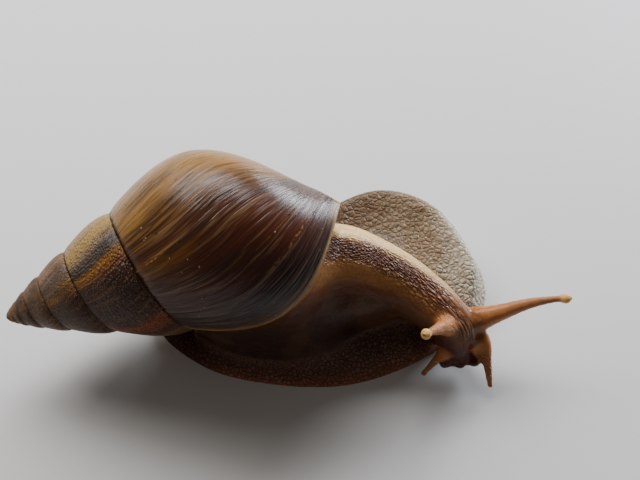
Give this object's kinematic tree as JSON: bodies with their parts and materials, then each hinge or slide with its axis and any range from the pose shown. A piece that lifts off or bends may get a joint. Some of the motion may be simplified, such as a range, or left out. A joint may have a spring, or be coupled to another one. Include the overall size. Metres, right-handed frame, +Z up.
{
  "type": "giant african land snail",
  "caption": "Life-size giant African land snail, crawling with its shell on its back and its head turned to the right.",
  "frame": {"origin": "on the floor, under the middle of the whole snail's box", "axes": "+X the way the snail crawls, +Y its left side, +Z up"},
  "size_m": [0.1826, 0.0822, 0.0706],
  "materials": {
    "shell": "satin",
    "flesh": "satin",
    "eye": "gloss"
  },
  "bodies": {
    "root": {"shell_apex": "shell", "shell_middle_whorl": "shell", "shell_penultimate_whorl": "shell", "shell_body_whorl": "shell", "mantle_collar": "flesh", "foot_tail": "flesh", "foot_middle": "flesh", "foot_front": "flesh", "trunk": "flesh", "neck_rear": "flesh", "neck_front": "flesh", "head": "flesh", "tentacle_upper_left_base": "flesh", "tentacle_upper_left_middle": "flesh", "tentacle_upper_left_tip": "flesh", "tentacle_upper_right_base": "flesh", "tentacle_upper_right_middle": "flesh", "tentacle_upper_right_tip": "flesh", "tentacle_lower_left": "flesh", "tentacle_lower_right": "flesh", "eye_left": "eye", "eye_right": "eye"}
  },
  "joints": []
}
